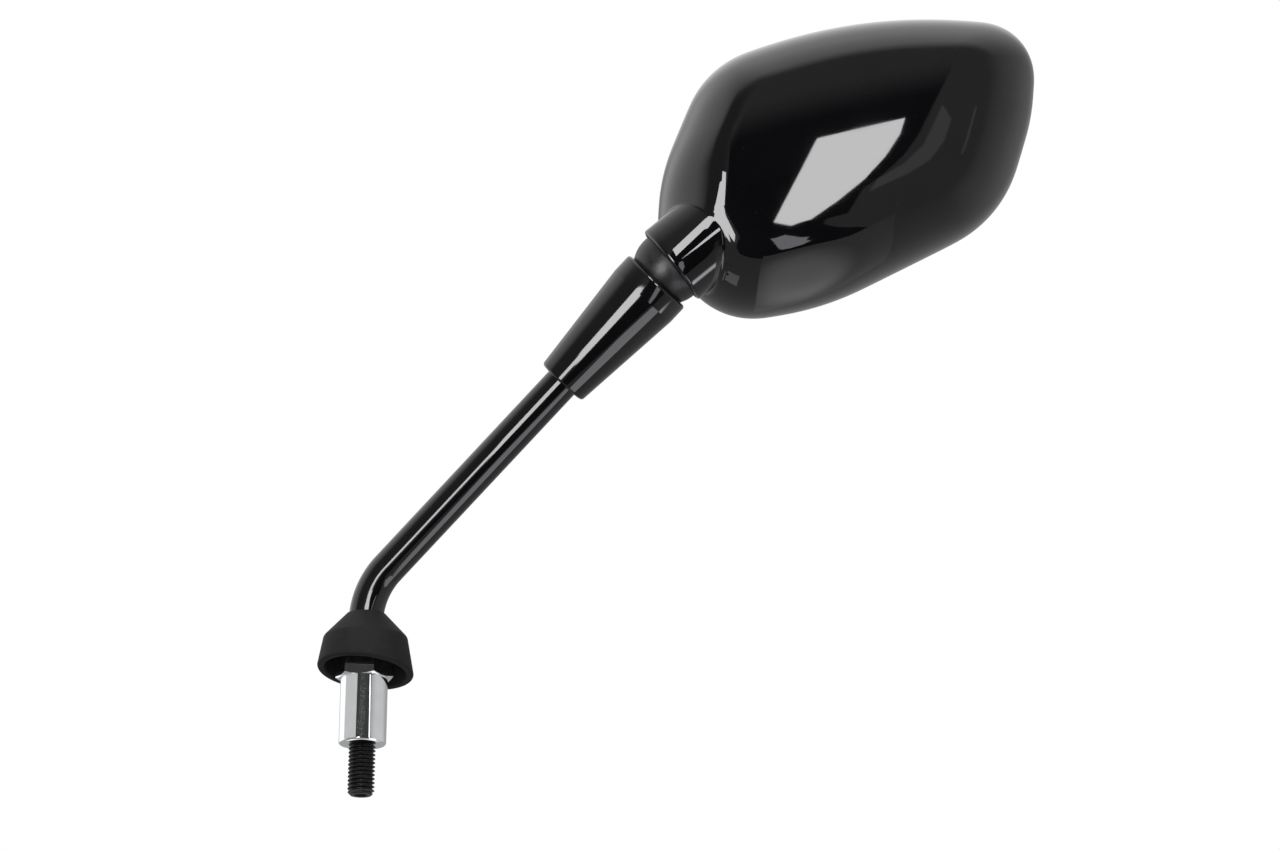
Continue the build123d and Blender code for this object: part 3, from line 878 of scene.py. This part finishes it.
# Inner pieces, which keep the shape of their solids
FINISHES = {
    "lock_nut": ZINC,
    "ball_seat": ACETAL,
    "dust_ring": RUBBER,
    "pressure_washer": ZINC,
    "pivot_spring": SPRING_STEEL,
    "flat_washer": ZINC,
    "pivot_nut": ZINC,
    "backing_plate": PLATE_PLASTIC,
    "glass_pad": FOAM,
    **{f"plate_screw_{number}": ZINC for number in range(1, len(BOSS_PLACES) + 1)},
}
for node, material in FINISHES.items():
    slots = frame["nodes"][node].data.materials
    slots.clear()
    slots.append(material)


# Camera
camera = bpy.data.objects.new("camera", bpy.data.cameras.new("camera"))
camera.data.lens = LENS
camera.data.sensor_width = SENSOR
camera.data.sensor_fit = "HORIZONTAL"
camera.location = CAMERA_PLACE
camera.rotation_euler = (pi / 2 + CAMERA_RISE, 0, 0)
bpy.context.scene.collection.objects.link(camera)
bpy.context.scene.camera = camera
bpy.context.scene.view_settings.view_transform = "Standard"


# Lamps and light cards
def area_light(name, place, target, width, height, power, tint=WHITE, spread=180.0, in_gloss=False):
    """Lamp that looks at a target in millimetres, and lights the object or only shows in its gloss."""
    lamp = bpy.data.lights.new(name, "AREA")
    lamp.shape = "RECTANGLE"
    lamp.size = width * MM
    lamp.size_y = height * MM
    lamp.energy = power
    lamp.color = tint
    lamp.spread = radians(spread)
    holder = bpy.data.objects.new(name, lamp)
    holder.location = Vector(place) * MM
    holder.rotation_euler = (Vector(target) - Vector(place)).to_track_quat("-Z", "Y").to_euler()
    holder.visible_camera = False
    holder.visible_glossy = in_gloss
    holder.visible_diffuse = not in_gloss
    bpy.context.scene.collection.objects.link(holder)


def along(tree, place, way):
    """How far a place or direction goes along a direction."""
    node = tree.nodes.new("ShaderNodeVectorMath")
    node.operation = "DOT_PRODUCT"
    tree.links.new(place, node.inputs[0])
    node.inputs[1].default_value = way
    return node.outputs["Value"]


def eased(tree, value, start, end, low, high):
    """Number that runs smoothly from low to high as a value goes from start to end."""
    node = tree.nodes.new("ShaderNodeMapRange")
    node.interpolation_type = "SMOOTHSTEP"
    tree.links.new(value, node.inputs["Value"])
    node.inputs["From Min"].default_value = start
    node.inputs["From Max"].default_value = end
    for name, number in (("To Min", low), ("To Max", high)):
        if isinstance(number, bpy.types.NodeSocket):
            tree.links.new(number, node.inputs[name])
        else:
            node.inputs[name].default_value = number
    return node.outputs["Result"]


def away_from(tree, place, point):
    """How far a place is from a point."""
    node = tree.nodes.new("ShaderNodeVectorMath")
    node.operation = "DISTANCE"
    tree.links.new(place, node.inputs[0])
    node.inputs[1].default_value = point
    return node.outputs["Value"]


def light_card(name, corners, level, tint=WHITE, fade=None):
    """Flat card that shows only in the gloss; a fade is (measure, from what, start, end, far level)."""
    material = bpy.data.materials.new(name)
    material.use_nodes = True
    tree = material.node_tree
    tree.nodes.clear()
    glow = tree.nodes.new("ShaderNodeEmission")
    glow.inputs["Color"].default_value = (*tint, 1)
    glow.inputs["Strength"].default_value = level
    if fade:
        measure, from_what, start, end, far_level = fade
        place = tree.nodes.new("ShaderNodeTexCoord").outputs["Object"]
        strength = eased(tree, measure(tree, place, from_what), start * MM, end * MM, level, far_level)
        tree.links.new(strength, glow.inputs["Strength"])
    output = tree.nodes.new("ShaderNodeOutputMaterial")
    tree.links.new(glow.outputs["Emission"], output.inputs["Surface"])
    mesh = bpy.data.meshes.new(name)
    mesh.from_pydata([Vector(corner) * MM for corner in corners], [], [tuple(range(len(corners)))])
    mesh.materials.append(material)
    card = bpy.data.objects.new(name, mesh)
    card.visible_camera = False
    card.visible_diffuse = False
    card.visible_transmission = False
    card.visible_volume_scatter = False
    card.visible_shadow = False
    bpy.context.scene.collection.objects.link(card)


def upright(corners, depth=FRONT_DEPTH):
    """Places of (across, height) corners on an upright plane."""
    return [(x, depth, z) for x, z in corners]


def flat(corners, height):
    """Places of (across, depth) corners on a level plane."""
    return [(x, y, height) for x, y in corners]


def toward(turn, rise):
    """Direction with a turn to the right of the camera's side and a rise, in degrees."""
    turn, rise = radians(turn), radians(rise)
    return Vector((sin(turn) * cos(rise), -cos(turn) * cos(rise), sin(rise)))


light_card("left_softbox", upright(LEFT_SOFTBOX), SOFTBOX_LEVEL)
light_card("right_softbox", upright(RIGHT_SOFTBOX), SOFTBOX_LEVEL)
light_card("neck_strip", upright(NECK_STRIP, NECK_DEPTH), SOFTBOX_LEVEL)
light_card("small_card", upright(SMALL_CARD), SMALL_LEVEL, LILAC)
light_card("grey_arc", upright(GREY_ARC), ARC_LEVEL)
light_card("thin_arc", upright(THIN_ARC), ARC_LEVEL)
panel_fade = (along, PANEL_FADE_WAY, PANEL_FADE_START, PANEL_FADE_END, LOW_LEVEL)
light_card("dark_panel", upright(DARK_PANEL, FRONT_DEPTH - CARD_GAP), DARK_LEVEL, fade=panel_fade)
light_card("dark_foot", upright(DARK_FOOT, FRONT_DEPTH - 2 * CARD_GAP), DARK_LEVEL)
light_card("foot_flag", upright(FOOT_FLAG, FOOT_DEPTH), DARK_LEVEL)
light_card("foot_card", FOOT_CARD, RIGHT_LEVEL)
light_card("foot_plate", flat(FOOT_PLATE, FOOT_PLATE_HEIGHT), FOOT_LEVEL)
light_card("table", flat(TABLE, TABLE_HEIGHT), TABLE_LEVEL, LILAC)
shelf_centre = Vector((*SHELF_CENTRE, SHELF_HEIGHT)) * MM
shelf_fade = (away_from, shelf_centre, SHELF_FADE_START, SHELF_FADE_END, SHELF_FAR_LEVEL)
light_card("shelf", flat(SHELF, SHELF_HEIGHT), SHELF_LEVEL, fade=shelf_fade)
area_light("top_light", TOP_LIGHT_PLACE, PIVOT / MM, TOP_LIGHT_SIZE, TOP_LIGHT_SIZE, TOP_LIGHT_POWER)
area_light(
    "collar_light", COLLAR_LIGHT_PLACE, COLLAR_LIGHT_TARGET,
    COLLAR_LIGHT_WIDTH, COLLAR_LIGHT_HEIGHT, COLLAR_LIGHT_POWER,
    tint=LILAC, spread=COLLAR_LIGHT_SPREAD, in_gloss=True,
)

# Surroundings: white for the camera and through glass, plain for the light on the object, and a
# smooth studio in the gloss
world = bpy.data.worlds.new("studio")
bpy.context.scene.world = world
world.use_nodes = True
world_tree = world.node_tree
background = world_tree.nodes["Background"]
background.inputs["Color"].default_value = (*WHITE, 1)
looked_at = world_tree.nodes.new("ShaderNodeTexCoord").outputs["Generated"]


def with_glow(surroundings, way, edges, glow_level):
    """Level of the surroundings with another level round a way."""
    nearness = along(world_tree, looked_at, toward(*way))
    outer, inner = (cos(radians(edge)) for edge in edges)
    return eased(world_tree, nearness, outer, inner, surroundings, glow_level)


low_side = with_glow(LOW_LEVEL, RIGHT_WAY, RIGHT_EDGES, RIGHT_LEVEL)
low_side = with_glow(low_side, FRONT_WAY, FRONT_EDGES, FRONT_LEVEL)
height = along(world_tree, looked_at, UP)
gloss_light = eased(world_tree, height, HIGH_START, HIGH_END, low_side, HIGH_LEVEL)
gloss_light = with_glow(gloss_light, LEFT_WAY, LEFT_EDGES, LEFT_LEVEL)
gloss_light = with_glow(gloss_light, REAR_WAY, REAR_EDGES, REAR_LEVEL)
path = world_tree.nodes.new("ShaderNodeLightPath").outputs
lit = eased(world_tree, path["Is Glossy Ray"], 0, 1, PLAIN_LEVEL, gloss_light)
through = eased(world_tree, path["Is Transmission Ray"], 0, 1, lit, WHITE_LEVEL)
shown = eased(world_tree, path["Is Camera Ray"], 0, 1, through, WHITE_LEVEL)
world_tree.links.new(shown, background.inputs["Strength"])

# Floor
FLOOR_PAINT = finish_material(
    "floor_paint", (0.86, 0.86, 0.86), (0.88, 0.88, 0.88), 400.0, (0.7, 0.8), grain=30.0, depth=0.02
)
floor_mesh = bpy.data.meshes.new("floor")
floor_corners = [(x * FLOOR_REACH, y * FLOOR_REACH) for x, y in ((-1, -1), (1, -1), (1, 1), (-1, 1))]
floor_places = [Vector(place) * MM for place in flat(floor_corners, FLOOR_HEIGHT)]
floor_mesh.from_pydata(floor_places, [], [(0, 1, 2, 3)])
floor_mesh.materials.append(FLOOR_PAINT)
floor = bpy.data.objects.new("floor", floor_mesh)
bpy.context.scene.collection.objects.link(floor)
floor.visible_glossy = False
